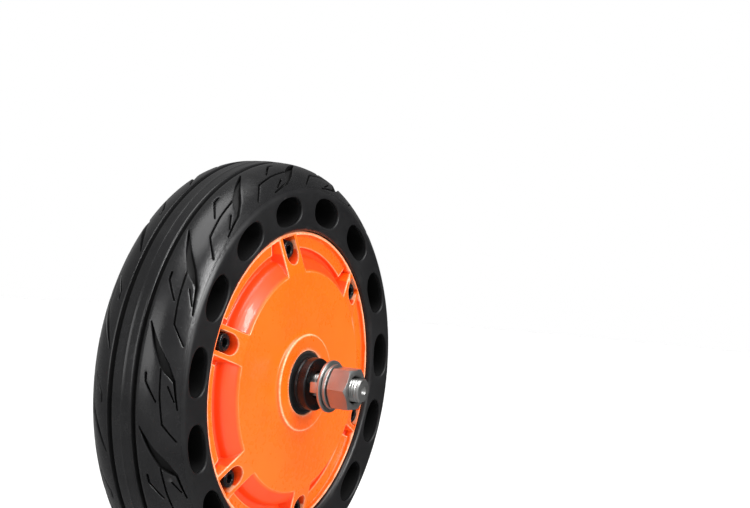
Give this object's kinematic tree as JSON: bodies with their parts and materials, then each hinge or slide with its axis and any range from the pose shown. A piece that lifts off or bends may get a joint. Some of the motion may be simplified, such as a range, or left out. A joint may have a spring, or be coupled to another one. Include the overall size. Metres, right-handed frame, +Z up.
{
  "type": "hub motor wheel",
  "caption": "Scooter wheel with a direct-drive motor in its hub: solid honeycomb tyre, cast screw-on covers, and a fixed axle with flats, collars and nuts.",
  "frame": {"origin": "centre of the wheel, on the axle's axis, halfway between the two side walls of the tyre", "axes": "+Y along the axle, out of the side where the motor cable leaves; +X the way the scooter travels; +Z up"},
  "size_m": [0.2, 0.12, 0.2],
  "materials": {
    "tyre_rubber": "black moulded rubber, semi-gloss, lightly scuffed",
    "orange_paint": "glossy orange paint over cast aluminium",
    "cast_aluminium": "machined and cast aluminium, satin",
    "black_steel": "black oxide steel, satin",
    "zinc_steel": "zinc plated steel",
    "bearing_steel": "ground bearing steel",
    "lamination_steel": "stacked electrical steel with a thin varnish",
    "magnet_nickel": "nickel plated magnet",
    "copper_wire": "enamelled copper wire",
    "seal_rubber": "black nitrile rubber, matt",
    "insulator_plastic": "cream insulating plastic",
    "circuit_board": "green solder mask",
    "sensor_plastic": "black moulded plastic"
  },
  "bodies": {
    "axle_assembly": {"axle": "zinc_steel", "axle_collar_left": "black_steel", "axle_collar_right": "black_steel", "axle_nut_left": "zinc_steel", "axle_nut_right": "zinc_steel", "bearing_inner_ring_left": "bearing_steel", "bearing_inner_ring_right": "bearing_steel", "cable_grommet": "seal_rubber", "hall_board": "circuit_board", "hall_sensor_1": "sensor_plastic", "hall_sensor_2": "sensor_plastic", "hall_sensor_3": "sensor_plastic", "insulator_left": "insulator_plastic", "insulator_right": "insulator_plastic", "lock_washer_left": "zinc_steel", "lock_washer_right": "zinc_steel", "stator_carrier": "cast_aluminium", "stator_circlip": "black_steel", "stator_core": "lamination_steel", "stator_key": "zinc_steel", "tab_washer_left": "zinc_steel", "tab_washer_right": "zinc_steel", "windings": "copper_wire"},
    "wheel": {"bearing_outer_ring_left": "bearing_steel", "bearing_outer_ring_right": "bearing_steel", "bearing_shield_left_inner": "zinc_steel", "bearing_shield_left_outer": "zinc_steel", "bearing_shield_right_inner": "zinc_steel", "bearing_shield_right_outer": "zinc_steel", "cover_left": "orange_paint", "cover_right": "orange_paint", "cover_screw_left_1": "black_steel", "cover_screw_left_2": "black_steel", "cover_screw_left_3": "black_steel", "cover_screw_left_4": "black_steel", "cover_screw_left_5": "black_steel", "cover_screw_left_6": "black_steel", "cover_screw_right_1": "black_steel", "cover_screw_right_2": "black_steel", "cover_screw_right_3": "black_steel", "cover_screw_right_4": "black_steel", "cover_screw_right_5": "black_steel", "cover_screw_right_6": "black_steel", "flux_ring": "lamination_steel", "magnet_ring": "magnet_nickel", "motor_shell": "cast_aluminium", "oil_seal_left": "seal_rubber", "oil_seal_right": "seal_rubber", "tyre": "tyre_rubber"},
    "ball_set_right": {"ball_cage_right": "bearing_steel"},
    "ball_set_left": {"ball_cage_left": "bearing_steel"}
  },
  "joints": [
    {"name": "wheel_spin", "type": "hinge", "parent": "axle_assembly", "child": "wheel", "pos_m": [0, 0, 0], "axis": [0, 1, 0], "continuous": true},
    {"name": "ball_set_right_spin", "type": "hinge", "parent": "axle_assembly", "child": "ball_set_right", "pos_m": [0, -0.021, 0], "axis": [0, 1, 0], "continuous": true},
    {"name": "ball_set_left_spin", "type": "hinge", "parent": "axle_assembly", "child": "ball_set_left", "pos_m": [0, 0.021, 0], "axis": [0, 1, 0], "continuous": true}
  ],
  "couplings": [
    {"joint": "ball_set_right_spin", "follows": "wheel_spin", "ratio": 0.604},
    {"joint": "ball_set_left_spin", "follows": "wheel_spin", "ratio": 0.604}
  ]
}
